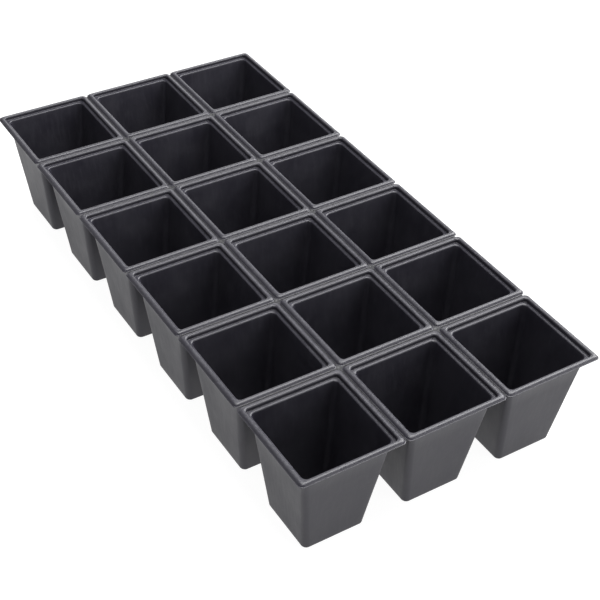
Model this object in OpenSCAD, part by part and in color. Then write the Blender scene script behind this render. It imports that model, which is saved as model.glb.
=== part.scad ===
// Plug tray: a grid of tapered square pots formed in one thin sheet.
// Each pot has its own raised rim and tears off along the scored lines around it.
// Z = 0 is the surface the tray stands on, Z points up and Y runs along the tray.

/* [Tray] */
// Number of pots across the tray
columns = 3; // [2:1:4]
// Number of pots along the tray
rows = 6; // [2:1:8]
// Distance between the centres of neighbouring pots
pitch = 88; // [82:1:96]
// Height of the tray, up to the crests of the rims
tray_h = 92; // [60:1:120]
// Thickness of the formed sheet
sheet = 0.5; // [0.4:0.1:0.7]

/* [Rim] */
// Width of the rim, from the middle of the tear line to the mouth
rim_w = 5.2; // [5:0.1:6]
// Width of the flat lip between the tear line and the foot of the hump
lip_w = 0.5; // [0.2:0.1:0.6]
// Height of the hump over the flat lip
hump_h = 1.7; // [1.4:0.1:1.8]
// Rounding of the hump on its inner side, down to the mouth
shoulder_r = 1.4; // [1:0.1:1.6]
// Corner radius of the mouth
mouth_corner_r = 3; // [2.5:0.5:5]
// Corner radius of the flange
flange_corner_r = 3.5; // [3:0.5:6]

/* [Cup] */
// Depth of the ledge inside the mouth, below the crest
ledge_drop = 3.3; // [3:0.1:4.5]
// Width of the ledge, from the mouth to where the wall would meet it
ledge_w = 2.9; // [2.5:0.1:4]
// Rounding where the ledge turns down into the wall
ledge_edge_r = 2; // [1.2:0.1:2.2]
// Side of the foot, where the walls would meet the floor
foot_w = 52; // [46:1:56]
// Radius of the cup's upright corners at the ledge
cup_corner_r = 4; // [3.5:0.5:8]
// Radius of the cup's upright corners at the foot
foot_corner_r = 5; // [4.5:0.5:7]
// Rounding between the walls and the floor
foot_edge_r = 3; // [2:0.5:4]

/* [Drain holes] */
// Diameter of the hole in the middle of the floor
centre_drain_d = 10; // [6:1:16]
// Diameter of the four holes around it
side_drain_d = 6; // [4:0.5:7]
// Distance of the four holes from the middle of the floor
side_drain_offset = 15; // [13:0.5:15]

/* [Tear lines] */
// Width of the scored strip between two pots
tear_w = 1; // [0.8:0.1:1.2]
// Thickness left under the score
score_t = 0.2; // [0.1:0.05:0.3]
// Width of the flat at the bottom of the score
score_flat_w = 0.2; // [0.1:0.05:0.4]
// Diameter of the dimple where four pots meet
dimple_d = 3; // [2:0.5:3.5]
// Depth of the dimple
dimple_depth = 0.3; // [0.1:0.05:0.35]

/* [Hidden] */
pot_names = [for (row = [1:rows], column = [1:columns]) pot_name(row, column)];
cross_line_names = [for (row = [1:rows - 1]) cross_line_name(row)];
long_line_names = [for (column = [1:columns - 1]) long_line_name(column)];

// Straight facets in each quarter turn of a corner
corner_steps = 4;
// How far a cutter runs past the sheet
over = 1;
drain_facets = 48;

flange_top = tray_h - hump_h;
flange_edge = tear_w / 2;
hump_foot = flange_edge + lip_w;
crest_inset = rim_w - shoulder_r;
// The hump rises from its foot to its crest along this radius
hump_run = crest_inset - hump_foot;
hump_r = (pow(hump_run, 2) + pow(hump_h, 2)) / (2 * hump_h);
shoulder_steps = 3;
ledge_top = tray_h - ledge_drop;
foot_inset = (pitch - foot_w) / 2;
foot_steps = 3;
// Lean of the walls from the vertical
taper = atan((foot_inset + sheet - rim_w - ledge_w) / ledge_top);
// Centres of the roundings at the top and the bottom of the walls
ledge_edge_inset = rim_w + ledge_w - ledge_edge_r * tan(45 - taper / 2);
foot_edge_inset = foot_inset + foot_edge_r * (1 - sin(taper)) / cos(taper);

function pot_name(row, column) = str("pot_row", row, "_column", column);
function cross_line_name(row) = str("cross_tear_line_", row);
function long_line_name(column) = str("long_tear_line_", column);

// Centre of a pot. Row 1 is at the +Y end and column 1 on the -X side.
function pot_x(column) = (column - (columns + 1) / 2) * pitch;
function pot_y(row) = ((rows + 1) / 2 - row) * pitch;

// A station is [inset from the pot's square of ground, height, corner radius].
// The sheet's section is a list of stations, and each becomes one ring of points.
// Each rounding takes depth, how far the face lies below the sheet's upper face.
function rim_station(inset, z) =
    let (t = (rim_w - inset) / (rim_w - flange_edge))
        [inset, z, mouth_corner_r + (flange_corner_r - mouth_corner_r) * t];

// Outer slope of the hump, from height z_foot up to the crest
function hump_slope(depth, z_foot, steps) =
    let (r = hump_r - depth, steepest = acos((z_foot - tray_h + hump_r) / r))
        [
            for (step = [0:steps])
                let (a = steepest * (1 - step / steps))
                    rim_station(crest_inset - r * sin(a), tray_h - hump_r + r * cos(a))
        ];

// Inner shoulder of the hump, from just past the crest down to the mouth
function hump_shoulder(depth) =
    let (r = shoulder_r - depth)
        [
            for (step = [1:shoulder_steps])
                let (a = 90 * step / shoulder_steps)
                    rim_station(crest_inset + r * sin(a), tray_h - shoulder_r + r * cos(a))
        ];

// Rounding from the ledge down into the wall
function ledge_edge(depth, steps) =
    let (r = ledge_edge_r - depth)
        [
            for (step = [0:steps])
                let (a = (90 - taper) * step / steps)
                    [
                        ledge_edge_inset + r * sin(a),
                        ledge_top - ledge_edge_r + r * cos(a),
                        cup_corner_r - sheet + depth + ledge_edge_r / 2 * (1 - sin(a))
                    ]
        ];

// Rounding from the wall down into the floor
function foot_edge(depth) =
    let (r = foot_edge_r - sheet + depth)
        [
            for (step = [0:foot_steps])
                let (a = taper + (90 - taper) * step / foot_steps)
                    [
                        foot_edge_inset - r * cos(a),
                        foot_edge_r - r * sin(a),
                        foot_corner_r - sheet + depth - r * (cos(taper) - cos(a))
                    ]
        ];

function reversed(list) = [for (i = [len(list) - 1:-1:0]) list[i]];

// The face that looks up and in, from the flange's edge to the floor
upper_face = concat(
    [rim_station(flange_edge, flange_top)],
    hump_slope(0, flange_top, 4),
    hump_shoulder(0),
    [rim_station(rim_w, ledge_top)],
    ledge_edge(0, 3),
    foot_edge(0)
);

// The face that looks down and out, one sheet's thickness below the other
lower_face = concat(
    [rim_station(flange_edge, flange_top - sheet)],
    hump_slope(sheet, flange_top - sheet, 3),
    hump_shoulder(sheet),
    [rim_station(rim_w - sheet, ledge_top - sheet)],
    ledge_edge(sheet, 2),
    foot_edge(sheet)
);

// Points of a rounded square, counterclockwise from above
function ring(station) =
    let (half = pitch / 2 - station[0], r = station[2])
        [
            for (quarter = [0:3], step = [0:corner_steps])
                let (
                    middle = 45 + 90 * quarter,
                    a = 90 * (quarter + step / corner_steps)
                )
                    [
                        (half - r) * sqrt(2) * cos(middle) + r * cos(a),
                        (half - r) * sqrt(2) * sin(middle) + r * sin(a),
                        station[1]
                    ]
        ];

// A closed skin through rings of points, with a flat cap on the first and the last ring
module ringed_solid(stations) {
    n = 4 * (corner_steps + 1);
    last = (len(stations) - 1) * n;
    polyhedron(
        points = [for (station = stations) each ring(station)],
        faces = concat(
            [[for (i = [0:n - 1]) i]],
            [
                for (level = [0:len(stations) - 2], i = [0:n - 1])
                    let (next = (i + 1) % n, low = level * n, high = low + n)
                        [low + i, high + i, high + next, low + next]
            ],
            [[for (i = [n - 1:-1:0]) last + i]]
        )
    );
}

module drain_hole(d) {
    translate([0, 0, -over])
        cylinder(d = d, h = sheet + 2 * over, $fn = drain_facets);
}

module drain_holes() {
    drain_hole(centre_drain_d);
    for (turn = [0:90:270])
        rotate([0, 0, turn])
            translate([side_drain_offset, 0, 0])
                drain_hole(side_drain_d);
}

module pot() {
    color([0.15, 0.15, 0.16])
        difference() {
            ringed_solid(concat(reversed(lower_face), upper_face));
            drain_holes();
        }
}

module placed_pot(row, column) {
    translate([pot_x(column), pot_y(row), 0])
        pot();
}

// One scored strip, along X, between two pots that touch it with their flanges
module tear_strip() {
    length = pitch - 2 * (flange_edge + flange_corner_r);
    color([0.22, 0.22, 0.23])
        rotate([90, 0, 90])
            linear_extrude(height = length, center = true)
                polygon([
                    [-tear_w / 2, flange_top],
                    [-tear_w / 2, flange_top - sheet],
                    [tear_w / 2, flange_top - sheet],
                    [tear_w / 2, flange_top],
                    [score_flat_w / 2, flange_top - sheet + score_t],
                    [-score_flat_w / 2, flange_top - sheet + score_t]
                ]);
}

// The strips between one row and the next
module cross_tear_line(row) {
    for (column = [1:columns])
        translate([pot_x(column), (pot_y(row) + pot_y(row + 1)) / 2, 0])
            tear_strip();
}

// The strips between one column and the next
module long_tear_line(column) {
    for (row = [1:rows])
        translate([(pot_x(column) + pot_x(column + 1)) / 2, pot_y(row), 0])
            rotate([0, 0, 90])
                tear_strip();
}

// The four-pointed patch between four flange corners, with its dimple
module corner_dimple() {
    centre = flange_edge + flange_corner_r;
    star = [
        for (quarter = [0:3], step = [0:corner_steps])
            let (
                middle = 45 + 90 * quarter,
                a = middle + 225 - 90 * step / corner_steps
            )
                [
                    centre * sqrt(2) * cos(middle) + flange_corner_r * cos(a),
                    centre * sqrt(2) * sin(middle) + flange_corner_r * sin(a)
                ]
    ];
    ball_r = (pow(dimple_d / 2, 2) + pow(dimple_depth, 2)) / (2 * dimple_depth);
    color([0.18, 0.18, 0.19])
        difference() {
            translate([0, 0, flange_top - sheet])
                linear_extrude(height = sheet)
                    polygon(star);
            translate([0, 0, flange_top - dimple_depth + ball_r])
                sphere(r = ball_r, $fn = drain_facets);
        }
}

module corner_dimples() {
    for (row = [1:rows - 1], column = [1:columns - 1])
        translate([
            (pot_x(column) + pot_x(column + 1)) / 2,
            (pot_y(row) + pot_y(row + 1)) / 2,
            0
        ])
            corner_dimple();
}

for (row = [1:rows], column = [1:columns])
    placed_pot(row, column);
for (row = [1:rows - 1])
    cross_tear_line(row);
for (column = [1:columns - 1])
    long_tear_line(column);
corner_dimples();
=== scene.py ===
"""Looks of the plug tray: a grid of tapered square pots formed in one thin black sheet."""
import math

import bpy
from mathutils import Matrix, Vector, noise
from mathutils.geometry import tessellate_polygon


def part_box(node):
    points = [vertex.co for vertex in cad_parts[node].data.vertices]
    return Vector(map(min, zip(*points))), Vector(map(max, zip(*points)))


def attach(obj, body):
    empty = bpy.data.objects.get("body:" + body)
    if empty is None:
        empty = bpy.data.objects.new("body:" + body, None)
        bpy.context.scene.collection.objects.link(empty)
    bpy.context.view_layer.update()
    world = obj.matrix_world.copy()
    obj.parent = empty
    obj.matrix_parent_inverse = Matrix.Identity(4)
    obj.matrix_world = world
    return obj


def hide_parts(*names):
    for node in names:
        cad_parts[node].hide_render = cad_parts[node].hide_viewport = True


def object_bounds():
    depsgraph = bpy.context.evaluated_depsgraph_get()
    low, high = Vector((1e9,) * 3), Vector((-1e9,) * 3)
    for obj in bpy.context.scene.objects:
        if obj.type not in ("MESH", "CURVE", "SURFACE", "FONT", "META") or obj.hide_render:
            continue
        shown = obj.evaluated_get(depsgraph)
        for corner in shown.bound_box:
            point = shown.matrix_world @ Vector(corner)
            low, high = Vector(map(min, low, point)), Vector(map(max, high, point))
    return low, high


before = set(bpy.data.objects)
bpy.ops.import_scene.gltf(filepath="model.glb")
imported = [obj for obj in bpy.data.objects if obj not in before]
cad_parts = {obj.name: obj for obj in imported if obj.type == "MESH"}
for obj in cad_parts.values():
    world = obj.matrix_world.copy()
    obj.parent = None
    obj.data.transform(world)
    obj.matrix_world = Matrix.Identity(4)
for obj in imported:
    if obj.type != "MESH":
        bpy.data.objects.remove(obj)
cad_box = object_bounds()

MM = 0.001

# ---------------------------------------------------------------------------
# Sizes of the formed sheet. Insets are measured from the edge of a pot's flange.
# ---------------------------------------------------------------------------
SHEET = 0.5 * MM
HUMP_H = 1.7 * MM
HUMP_FOOT = 0.5 * MM
HUMP_SHOULDER = 1.38 * MM
MOUTH = 4.7 * MM
LEDGE_DROP = 3.3 * MM
LEDGE_SLOPE = 0.10 * MM
LEDGE_END = 7.3 * MM
FOOT = 18.0 * MM

FLANGE_CORNER_R = 3.5 * MM
MOUTH_CORNER_R = 3.0 * MM
LEDGE_CORNER_R = 4.0 * MM
FOOT_CORNER_R = 4.5 * MM

HUMP_FOOT_BEND = 0.35 * MM
HUMP_BEND = 2.75 * MM
MOUTH_BEND = 1.38 * MM
LEDGE_BEND = 0.35 * MM
LEDGE_EDGE_BEND = 1.2 * MM
FOOT_BEND = 2.5 * MM

CENTRE_DRAIN_R = 5.0 * MM
SIDE_DRAIN_R = 3.0 * MM
SIDE_DRAIN_OFFSET = 15.0 * MM
DRAIN_LIP = 0.14 * MM
DRAIN_STEPS = 40
# How far the flat margin of the floor reaches in from the bend at its foot
FLOOR_MARGIN = 3.2 * MM

TEAR_W = 1.0 * MM
SCORE_DEPTH = 0.3 * MM
SCORE_FLOOR_W = 0.2 * MM
# The strip's top dips a little towards the score, from this share of its half width
SCORE_SHOULDER = 0.8
SCORE_SHOULDER_DROP = 0.02 * MM
DIMPLE_R = 1.6 * MM
DIMPLE_DEPTH = 0.3 * MM
# Rings of a corner patch, as shares of the way from its middle to its outline
PATCH_RINGS = (0.06, 0.14, 0.22, 0.3, 0.4, 0.5, 0.62, 0.78, 0.93, 1.0)

CORNER_STEPS = 10
SIDE_STEPS = 14
BEND_STEP = math.radians(13)
LONGEST_STEP = 4.0 * MM

# How far the formed sheet strays from true
RIM_SAG = 0.25 * MM
RIM_SAG_SIZE = 0.11
WALL_BOW = 0.45 * MM
WALL_RIPPLE = 0.16 * MM
WALL_RIPPLE_SIZE = 0.022
# Shares of the height over which the bow and the ripples set in above the foot and fade below the rim
WALL_SETS_IN = (0.03, 0.2)
WALL_FADES = (0.86, 0.95)
# Steps through the noise from one pot to the next, so that no two are alike
SEED_STEP = (3.1, -1.7)

# Edges that turn by more than this are drawn sharp
POT_SHARP = math.radians(40)
STRIP_SHARP = math.radians(25)
PATCH_SHARP = math.radians(35)


# ---------------------------------------------------------------------------
# Sections and rings
# ---------------------------------------------------------------------------
def smooth_step(low, high, value):
    t = min(1.0, max(0.0, (value - low) / (high - low)))
    return t * t * (3 - 2 * t)


def blend(a, b, t):
    return [p + (q - p) * t for p, q in zip(a, b)]


def bend_corners(points):
    """A smooth section through points. Each is [inset, height, corner radius] and its bend's radius."""
    section = [points[0][0]]
    for (before, _), (corner, bend), (after, _) in zip(points, points[1:], points[2:]):
        into = Vector(corner[:2]) - Vector(before[:2])
        out = Vector(after[:2]) - Vector(corner[:2])
        turn = into.angle(out)
        reach = bend * math.tan(turn / 2)
        start = blend(corner, before, reach / into.length)
        end = blend(corner, after, reach / out.length)
        side = 1 if into.x * out.y - into.y * out.x > 0 else -1
        across = Vector((-into.y, into.x)).normalized() * side
        centre = Vector(start[:2]) + across * bend
        steps = max(2, math.ceil(turn / BEND_STEP))
        for step in range(steps + 1):
            t = step / steps
            arm = Matrix.Rotation(side * turn * t, 2) @ (-across * bend)
            section.append([*(centre + arm), start[2] + (end[2] - start[2]) * t])
    section.append(points[-1][0])
    return section


def short_steps(section):
    """The same section with its long straight stretches divided."""
    out = [section[0]]
    for a, b in zip(section, section[1:]):
        length = (Vector(b[:2]) - Vector(a[:2])).length
        if length < 1e-9:
            continue
        steps = max(1, math.ceil(length / LONGEST_STEP))
        out += [blend(a, b, step / steps) for step in range(1, steps + 1)]
    return out


def back_of(section, thickness):
    """The other face of the sheet: the section moved outwards and down by the sheet's thickness."""
    back = []
    for i, (inset, height, corner_r) in enumerate(section):
        before = section[max(0, i - 1)]
        after = section[min(len(section) - 1, i + 1)]
        along = (Vector(after[:2]) - Vector(before[:2])).normalized()
        out = along.y * thickness
        back.append([inset + out, height - along.x * thickness, corner_r - out])
    return back


def rim_edge(upper, lower):
    """The rounded edge of the sheet, from its lower face round to its upper face."""
    middle = [(a + b) / 2 for a, b in zip(upper, lower)]
    r = (upper[1] - lower[1]) / 2
    turns = [math.radians(a) for a in (-60, -30, 0, 30, 60)]
    return [[middle[0] - r * math.cos(a), middle[1] + r * math.sin(a), middle[2]] for a in turns]


def square_ring(half, inset, corner_r):
    """Points round a rounded square as (x, y, outward x, outward y, place along its side from -1 to 1)."""
    ring = []
    reach = half - inset
    straight = reach - corner_r
    for quarter in range(4):
        turn = Matrix.Rotation(math.radians(90 * quarter), 2)
        for step in range(SIDE_STEPS):
            t = -1 + 2 * step / SIDE_STEPS
            ring.append((*(turn @ Vector((reach, t * straight))), *(turn @ Vector((1, 0))), t))
        for step in range(CORNER_STEPS):
            a = math.radians(90 * step / CORNER_STEPS)
            arm = Vector((math.cos(a), math.sin(a)))
            ring.append((*(turn @ (Vector((straight, straight)) + arm * corner_r)), *(turn @ arm), 1.0))
    return ring


def rim_sag(x, y):
    """How far the rims and tear lines hang below their true height, alike on both sides of a joint."""
    wave = noise.noise(Vector((x, y, 0.0)) / RIM_SAG_SIZE)
    return RIM_SAG * (0.5 + 0.5 * max(-1.0, min(1.0, wave * 1.6)))


def new_piece(name, verts, faces, material, nodes, sharp_from):
    """One finished piece that stands for CAD nodes."""
    mesh = bpy.data.meshes.new(name)
    mesh.from_pydata(verts, [], faces)
    mesh.validate()
    mesh.shade_smooth()
    mesh.set_sharp_from_angle(angle=sharp_from)
    mesh.materials.append(material)
    piece = bpy.data.objects.new(name, mesh)
    bpy.context.scene.collection.objects.link(piece)
    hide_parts(*nodes)
    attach(piece, "root")


# ---------------------------------------------------------------------------
# Pots
# ---------------------------------------------------------------------------
def pot_section(top):
    """The upper face of the sheet, from the flange's edge over the hump and down to the floor."""
    flange_top = top - HUMP_H
    ledge = top - LEDGE_DROP

    def rim_corner(inset):
        return MOUTH_CORNER_R + (FLANGE_CORNER_R - MOUTH_CORNER_R) * (1 - inset / MOUTH)

    points = [
        ([SHEET / 2, flange_top, rim_corner(SHEET / 2)], 0),
        ([HUMP_FOOT, flange_top, rim_corner(HUMP_FOOT)], HUMP_FOOT_BEND),
        ([HUMP_SHOULDER, top, rim_corner(HUMP_SHOULDER)], HUMP_BEND),
        ([MOUTH, top, rim_corner(MOUTH)], MOUTH_BEND),
        ([MOUTH, ledge, MOUTH_CORNER_R], LEDGE_BEND),
        ([LEDGE_END, ledge - LEDGE_SLOPE, LEDGE_CORNER_R], LEDGE_EDGE_BEND),
        ([FOOT, SHEET, FOOT_CORNER_R], FOOT_BEND),
        ([FOOT + FLOOR_MARGIN, SHEET, FOOT_CORNER_R - FLOOR_MARGIN], 0),
    ]
    return short_steps(bend_corners(points))


def circle(x, y, z, r):
    """Points round an upright circle, counterclockwise from above."""
    turns = [2 * math.pi * step / DRAIN_STEPS for step in range(DRAIN_STEPS)]
    return [(x + r * math.cos(a), y + r * math.sin(a), z) for a in turns]


def drain_holes():
    """Each drain hole's place and radius, from the middle of the floor."""
    reach = SIDE_DRAIN_OFFSET
    side = [(x, y, SIDE_DRAIN_R) for x, y in ((reach, 0), (0, reach), (-reach, 0), (0, -reach))]
    return [(0.0, 0.0, CENTRE_DRAIN_R), *side]


def band(faces, first, second, count):
    """Faces between two rings of the same number of points."""
    for i in range(count):
        j = (i + 1) % count
        faces.append((first + i, first + j, second + j, second + i))


def floor_face(faces, verts, outer, holes, upwards):
    """A flat face between one ring and the rings of the drain holes. Rings are (first index, count)."""
    indices = [i for start, count in (outer, *holes) for i in range(start, start + count)]
    loops = [[Vector(verts[i]) for i in range(start, start + count)] for start, count in (outer, *holes)]
    for a, b, c in tessellate_polygon(loops):
        p, q, r = (Vector(verts[indices[i]]) for i in (a, b, c))
        if ((q - p).cross(r - p).z > 0) != upwards:
            a, c = c, a
        faces.append((indices[a], indices[b], indices[c]))


def shaped(x, y, z, out_x, out_y, place, centre, top, seed):
    """A point of a pot moved as the forming leaves it: bowed, rippled walls and a slightly wavy rim."""
    rise = z / top
    wall = smooth_step(*WALL_SETS_IN, rise) * (1 - smooth_step(*WALL_FADES, rise))
    bow = -WALL_BOW * wall * (1 - place * place) * math.sin(math.pi * min(1.0, rise))
    spot = Vector((x + seed * SEED_STEP[0], y + seed * SEED_STEP[1], z * 0.6)) / WALL_RIPPLE_SIZE
    shift = bow + WALL_RIPPLE * wall * noise.noise(spot)
    sag = rim_sag(centre[0] + x, centre[1] + y) * smooth_step(0.5, 1.0, rise)
    return (centre[0] + x + out_x * shift, centre[1] + y + out_y * shift, z - sag)


def make_pot(name, material, seed):
    """One pot: a skin of rings over both faces of the sheet, and a floor with drain holes."""
    low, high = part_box(name)
    centre = ((low.x + high.x) / 2, (low.y + high.y) / 2)
    half = (high.x - low.x) / 2
    top = high.z
    upper = pot_section(top)
    lower = back_of(upper, SHEET)
    section = lower[::-1] + rim_edge(upper[0], lower[0]) + upper

    verts = []
    faces = []
    count = 4 * (SIDE_STEPS + CORNER_STEPS)
    for inset, height, corner_r in section:
        for x, y, out_x, out_y, place in square_ring(half, inset, corner_r):
            verts.append(shaped(x, y, height, out_x, out_y, place, centre, top, seed))
    for level in range(len(section) - 1):
        band(faces, level * count, (level + 1) * count, count)

    top_holes = []
    bottom_holes = []
    lips = ((SHEET, DRAIN_LIP), (SHEET - DRAIN_LIP, 0), (DRAIN_LIP, 0), (0, DRAIN_LIP))
    for x, y, r in drain_holes():
        starts = []
        for height, lip in lips:
            starts.append(len(verts))
            verts += circle(centre[0] + x, centre[1] + y, height, r + lip)
        for first, second in zip(starts, starts[1:]):
            band(faces, second, first, DRAIN_STEPS)
        top_holes.append((starts[0], DRAIN_STEPS))
        bottom_holes.append((starts[-1], DRAIN_STEPS))
    last = (len(section) - 1) * count
    floor_face(faces, verts, (last, count), top_holes, True)
    floor_face(faces, verts, (0, count), bottom_holes, False)
    new_piece(name + "_shell", verts, faces, material, [name], POT_SHARP)


# ---------------------------------------------------------------------------
# Tear lines and corner patches
# ---------------------------------------------------------------------------
def groove_outline(top, thickness):
    """Cross-section of a scored strip as (across, height), counterclockwise from its lower left."""
    half = TEAR_W / 2
    shoulder = half * SCORE_SHOULDER
    shoulder_top = top - SCORE_SHOULDER_DROP
    floor_half = SCORE_FLOOR_W / 2
    return [
        (-half, top - thickness),
        (half, top - thickness),
        (half, top),
        (shoulder, shoulder_top),
        (floor_half, top - SCORE_DEPTH),
        (-floor_half, top - SCORE_DEPTH),
        (-shoulder, shoulder_top),
        (-half, top),
    ]


def add_strip(verts, faces, middle, along, length, top):
    """One scored strip between two flanges. middle is its centre and along its direction, as (x, y)."""
    outline = groove_outline(top, SHEET)
    steps = max(2, math.ceil(length / LONGEST_STEP))
    across = (-along[1], along[0])
    first = len(verts)
    count = len(outline)
    for step in range(steps + 1):
        travel = length * (step / steps - 0.5)
        for offset, height in outline:
            x = middle[0] + along[0] * travel + across[0] * offset
            y = middle[1] + along[1] * travel + across[1] * offset
            verts.append((x, y, height - rim_sag(x, y)))
    for step in range(steps):
        start = first + step * count
        for i in range(count):
            j = (i + 1) % count
            faces.append((start + i, start + j, start + count + j, start + count + i))
    faces.append(tuple(range(first + count - 1, first - 1, -1)))
    end = first + steps * count
    faces.append(tuple(range(end, end + count)))


def gaps_between(pots):
    """Where neighbouring pots nearly touch: {node: [(middle, along, length)]} for each tear line."""
    lines = {}
    for (row, column), (low, high) in pots.items():
        centre = ((low.x + high.x) / 2, (low.y + high.y) / 2)
        length = high.x - low.x - 2 * FLANGE_CORNER_R
        if (row + 1, column) in pots:
            y = (low.y + pots[row + 1, column][1].y) / 2
            lines.setdefault(f"cross_tear_line_{row}", []).append(((centre[0], y), (1, 0), length))
        if (row, column + 1) in pots:
            x = (high.x + pots[row, column + 1][0].x) / 2
            lines.setdefault(f"long_tear_line_{column}", []).append(((x, centre[1]), (0, 1), length))
    return lines


def make_tear_line(name, strips, top, material):
    """All the scored strips of one tear line, as one piece."""
    verts = []
    faces = []
    for middle, along, length in strips:
        add_strip(verts, faces, middle, along, length, top)
    new_piece(name + "_strips", verts, faces, material, [name], STRIP_SHARP)


def star_outline():
    """The outline of a corner patch: the four flange corners round it, seen from its middle."""
    centre = TEAR_W / 2 + FLANGE_CORNER_R
    outline = []
    for quarter in range(4):
        middle = math.radians(45 + 90 * quarter)
        for step in range(CORNER_STEPS + 1):
            a = middle + math.radians(225 - 90 * step / CORNER_STEPS)
            x = centre * math.sqrt(2) * math.cos(middle) + FLANGE_CORNER_R * math.cos(a)
            y = centre * math.sqrt(2) * math.sin(middle) + FLANGE_CORNER_R * math.sin(a)
            outline.append((x, y))
    return outline


def dimple_drop(r):
    """Depth of the dimple at a distance from its middle."""
    return DIMPLE_DEPTH * (1 - smooth_step(0.0, DIMPLE_R, r))


def add_star(verts, faces, middle, top):
    """One corner patch with its dimple."""
    outline = star_outline()
    count = len(outline)

    def add_side(height, dimpled):
        starts = []
        for share in PATCH_RINGS:
            starts.append(len(verts))
            for x, y in outline:
                px, py = x * share, y * share
                drop = dimple_drop(math.hypot(px, py)) if dimpled else 0.0
                wx, wy = middle[0] + px, middle[1] + py
                verts.append((wx, wy, height - drop - rim_sag(wx, wy)))
        return starts

    upper = add_side(top, True)
    lower = add_side(top - SHEET, False)
    for first, second in zip(upper, upper[1:]):
        band(faces, second, first, count)
    for first, second in zip(lower, lower[1:]):
        band(faces, first, second, count)
    faces.append(tuple(range(upper[0], upper[0] + count)))
    faces.append(tuple(range(lower[0] + count - 1, lower[0] - 1, -1)))
    band(faces, lower[-1], upper[-1], count)


def make_stars(name, pots, top, material):
    """The patches between every four pots, as one piece."""
    verts = []
    faces = []
    for (row, column), (low, high) in pots.items():
        if (row + 1, column + 1) in pots:
            other = pots[row + 1, column + 1]
            add_star(verts, faces, ((high.x + other[0].x) / 2, (low.y + other[1].y) / 2), top)
    new_piece(name + "_patches", verts, faces, material, [name], PATCH_SHARP)


# ---------------------------------------------------------------------------
# Material: satin black plastic
# ---------------------------------------------------------------------------
# Base colour and roughness of each sheet, each from its darkest or glossiest to its lightest or dullest
POT_COLOURS = ((0.018, 0.017, 0.024), (0.028, 0.027, 0.035))
POT_ROUGHNESS = (0.30, 0.40)
WEB_COLOURS = ((0.014, 0.014, 0.016), (0.022, 0.022, 0.024))
WEB_ROUGHNESS = (0.38, 0.48)
# Painted highlight: a pale colour mixed into the crests of the rims
PAINTED_CREST_HIGHLIGHT_COLOUR = (0.11, 0.11, 0.115)
SHEET_IOR = 1.41
# Depths below the crest between which the rims carry a painted highlight, and the drawn walls turn duller
CREST_HIGHLIGHT_BAND = (0.3 * MM, 1.3 * MM)
DRAWN_BAND = (4 * MM, 26 * MM)
DRAWN_DULLING = 0.18


def add_node(tree, kind, **values):
    node = tree.nodes.new(kind)
    for key, value in values.items():
        if key in node.inputs:
            node.inputs[key].default_value = value
        else:
            setattr(node, key, value)
    return node


def noise_texture(tree, vector, scale, detail=3.0, rough=0.5):
    node = add_node(tree, "ShaderNodeTexNoise", Scale=scale, Detail=detail, Roughness=rough)
    tree.links.new(vector, node.inputs["Vector"])
    return node.outputs["Fac"]


def ramp(tree, value, low, high, out_low, out_high):
    node = add_node(tree, "ShaderNodeMapRange")
    for socket, number in zip(("From Min", "From Max", "To Min", "To Max"), (low, high, out_low, out_high)):
        node.inputs[socket].default_value = number
    tree.links.new(value, node.inputs["Value"])
    return node.outputs["Result"]


def maths(tree, operation, a, b):
    node = add_node(tree, "ShaderNodeMath", operation=operation)
    for socket, value in zip(node.inputs, (a, b)):
        if isinstance(value, (int, float)):
            socket.default_value = value
        else:
            tree.links.new(value, socket)
    return node.outputs["Value"]


def mix_colour(tree, factor, a, b):
    node = add_node(tree, "ShaderNodeMix", data_type="RGBA")
    tree.links.new(factor, node.inputs["Factor"])
    for socket, value in zip((node.inputs[6], node.inputs[7]), (a, b)):
        if isinstance(value, tuple):
            socket.default_value = (*value, 1.0)
        else:
            tree.links.new(value, socket)
    return node.outputs[2]


def bump(tree, height, strength, distance, normal=None):
    node = add_node(tree, "ShaderNodeBump", Strength=strength, Distance=distance)
    tree.links.new(height, node.inputs["Height"])
    if normal is not None:
        tree.links.new(normal, node.inputs["Normal"])
    return node.outputs["Normal"]


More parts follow.
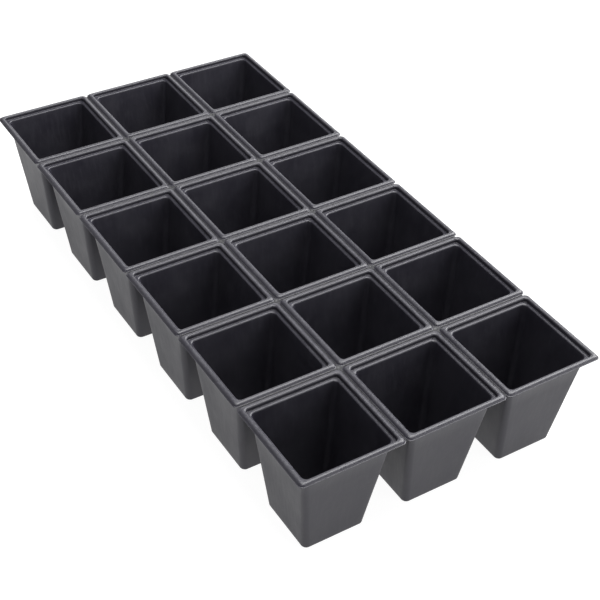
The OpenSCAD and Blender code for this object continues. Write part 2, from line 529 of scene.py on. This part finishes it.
def sheet_material(name, colours, roughness, top):
    """Satin black sheet: duller and marked down the walls, fine grain, a patchy painted highlight on the
    crests.
    """
    dark, light = colours
    material = bpy.data.materials.new(name)
    material.use_nodes = True
    tree = material.node_tree
    shader = tree.nodes["Principled BSDF"]
    place = add_node(tree, "ShaderNodeTexCoord").outputs["Object"]

    stretched = add_node(tree, "ShaderNodeMapping")
    stretched.inputs["Scale"].default_value = (1.0, 1.0, 0.07)
    tree.links.new(place, stretched.inputs["Vector"])

    blotches = noise_texture(tree, place, 38.0, 4.0, 0.6)
    draw_marks = noise_texture(tree, stretched.outputs["Vector"], 420.0, 3.0, 0.55)
    grain = noise_texture(tree, place, 2600.0, 2.0, 0.6)
    ripples = noise_texture(tree, place, 210.0, 2.0, 0.5)
    highlight_patches = noise_texture(tree, place, 900.0, 6.0, 0.7)

    height = add_node(tree, "ShaderNodeSeparateXYZ")
    tree.links.new(place, height.inputs["Vector"])
    crest = ramp(tree, height.outputs["Z"], top - CREST_HIGHLIGHT_BAND[1], top - CREST_HIGHLIGHT_BAND[0], 0.0, 1.0)
    # Mask of the painted crest highlight: the crest band, broken into patches by noise
    crest_highlight = maths(tree, "MULTIPLY", crest, ramp(tree, highlight_patches, 0.45, 0.68, 0.1, 0.8))

    colour = mix_colour(tree, ramp(tree, blotches, 0.3, 0.7, 0.0, 1.0), dark, light)
    streak = tuple(c * 1.6 for c in light)
    streaked = mix_colour(tree, ramp(tree, draw_marks, 0.5, 0.78, 0.0, 0.35), colour, streak)
    # The painted highlight lightens the base colour on the crests
    highlighted = mix_colour(tree, maths(tree, "MULTIPLY", crest_highlight, 0.45), streaked, PAINTED_CREST_HIGHLIGHT_COLOUR)
    tree.links.new(highlighted, shader.inputs["Base Color"])

    uneven = ramp(tree, blotches, 0.3, 0.7, *roughness)
    marked = maths(tree, "ADD", uneven, ramp(tree, draw_marks, 0.4, 0.8, -0.03, 0.05))
    drawn = ramp(tree, height.outputs["Z"], top - DRAWN_BAND[1], top - DRAWN_BAND[0], DRAWN_DULLING, 0.0)
    # Where the painted crest highlight lies, the sheet is also a little duller
    crest_dulling = maths(tree, "MULTIPLY", crest_highlight, 0.06)
    dulled = maths(tree, "ADD", maths(tree, "ADD", marked, drawn), crest_dulling)
    tree.links.new(dulled, shader.inputs["Roughness"])

    normal = bump(tree, ripples, 0.18, 0.4 * MM)
    normal = bump(tree, draw_marks, 0.10, 0.15 * MM, normal)
    normal = bump(tree, grain, 0.22, 0.05 * MM, normal)
    tree.links.new(normal, shader.inputs["Normal"])
    shader.inputs["IOR"].default_value = SHEET_IOR
    return material


# ---------------------------------------------------------------------------
# The tray
# ---------------------------------------------------------------------------
def pot_places():
    """Each pot's box by (row, column), read from the names of the CAD nodes."""
    places = {}
    for name in sorted(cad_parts):
        if name.startswith("pot_row"):
            row, column = name[len("pot_row"):].split("_column")
            places[int(row), int(column)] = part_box(name)
    return places


def make_tray():
    """Every piece of the tray, placed by the boxes of the CAD pots."""
    pots = pot_places()
    top = cad_box[1].z
    flange_top = top - HUMP_H
    pot_sheet = sheet_material("pot_sheet", POT_COLOURS, POT_ROUGHNESS, top)
    web_sheet = sheet_material("web_sheet", WEB_COLOURS, WEB_ROUGHNESS, top)
    for seed, (row, column) in enumerate(sorted(pots)):
        make_pot(f"pot_row{row}_column{column}", pot_sheet, seed)
    for name, strips in gaps_between(pots).items():
        make_tear_line(name, strips, flange_top, web_sheet)
    make_stars("corner_dimples", pots, flange_top, web_sheet)


# ---------------------------------------------------------------------------
# Studio
# ---------------------------------------------------------------------------
CAMERA_AZIMUTH = math.radians(-33.51)
CAMERA_ELEVATION = math.radians(39.30)
CAMERA_ROLL = math.radians(2.66)
CAMERA_DISTANCE = 1.087
CAMERA_AIM = Vector((0.0019, -0.0507, 0.046))
CAMERA_LENS = 78.8

WORLD_STRENGTH = 0.35
# The floor glows, so that it stays white under the tray's shadow
FLOOR_GLOW = 0.95
FLOOR_COLOUR = (0.18, 0.18, 0.18, 1)
FLOOR_REACH = 25.0
# The floor lies a hair below the tray, so that the two don't flicker where they touch
FLOOR_DROP = 0.1 * MM
SOFTBOX_AIM = (0, 0, 0.05)
# Name, place, size and power of each softbox. Together they arch over the tray's right side.
SOFTBOXES = (
    ("top_softbox", (0.85, 0.05, 1.5), (1.1, 3.0), 108),
    ("back_softbox", (1.55, 2.8, 1.15), (2.0, 1.4), 24),
    ("front_softbox", (0.95, -1.9, 0.75), (1.4, 1.0), 12),
)


def make_camera():
    """The camera at the photograph's angle. back points from the tray to the camera."""
    back = Vector((
        math.sin(CAMERA_AZIMUTH) * math.cos(CAMERA_ELEVATION),
        -math.cos(CAMERA_AZIMUTH) * math.cos(CAMERA_ELEVATION),
        math.sin(CAMERA_ELEVATION),
    ))
    level = Vector((math.cos(CAMERA_AZIMUTH), math.sin(CAMERA_AZIMUTH), 0))
    level_up = back.cross(level)
    right = level * math.cos(CAMERA_ROLL) + level_up * math.sin(CAMERA_ROLL)
    up = back.cross(right)
    data = bpy.data.cameras.new("camera")
    data.lens = CAMERA_LENS
    camera = bpy.data.objects.new("camera", data)
    turn = Matrix((right, up, back)).transposed().to_4x4()
    camera.matrix_world = Matrix.Translation(CAMERA_AIM + back * CAMERA_DISTANCE) @ turn
    bpy.context.scene.collection.objects.link(camera)
    bpy.context.scene.camera = camera


def make_floor():
    """A plain pale floor."""
    mesh = bpy.data.meshes.new("floor")
    corners = [(x * FLOOR_REACH, y * FLOOR_REACH) for x, y in ((-1, -1), (1, -1), (1, 1), (-1, 1))]
    mesh.from_pydata([(x, y, -FLOOR_DROP) for x, y in corners], [], [(0, 1, 2, 3)])
    material = bpy.data.materials.new("pale_floor")
    material.use_nodes = True
    shader = material.node_tree.nodes["Principled BSDF"]
    shader.inputs["Base Color"].default_value = FLOOR_COLOUR
    shader.inputs["Roughness"].default_value = 0.9
    shader.inputs["Specular IOR Level"].default_value = 0.1
    shader.inputs["Emission Color"].default_value = (1, 1, 1, 1)
    shader.inputs["Emission Strength"].default_value = FLOOR_GLOW
    mesh.materials.append(material)
    floor = bpy.data.objects.new("floor", mesh)
    bpy.context.scene.collection.objects.link(floor)


def make_area_light(name, place, size, power):
    """A softbox that faces the middle of the tray."""
    data = bpy.data.lights.new(name, "AREA")
    data.shape = "RECTANGLE"
    data.size, data.size_y = size
    data.energy = power
    light = bpy.data.objects.new(name, data)
    light.location = place
    light.rotation_euler = (Vector(SOFTBOX_AIM) - Vector(place)).to_track_quat("-Z", "Y").to_euler()
    bpy.context.scene.collection.objects.link(light)


def make_studio():
    """Plain soft light: an even pale surrounding and the softboxes."""
    world = bpy.data.worlds.new("studio")
    world.use_nodes = True
    background = world.node_tree.nodes["Background"]
    background.inputs["Color"].default_value = (1.0, 1.0, 1.0, 1)
    background.inputs["Strength"].default_value = WORLD_STRENGTH
    bpy.context.scene.world = world
    for name, place, size, power in SOFTBOXES:
        make_area_light(name, place, size, power)
    bpy.context.scene.view_settings.view_transform = "Standard"


make_tray()
make_camera()
make_floor()
make_studio()
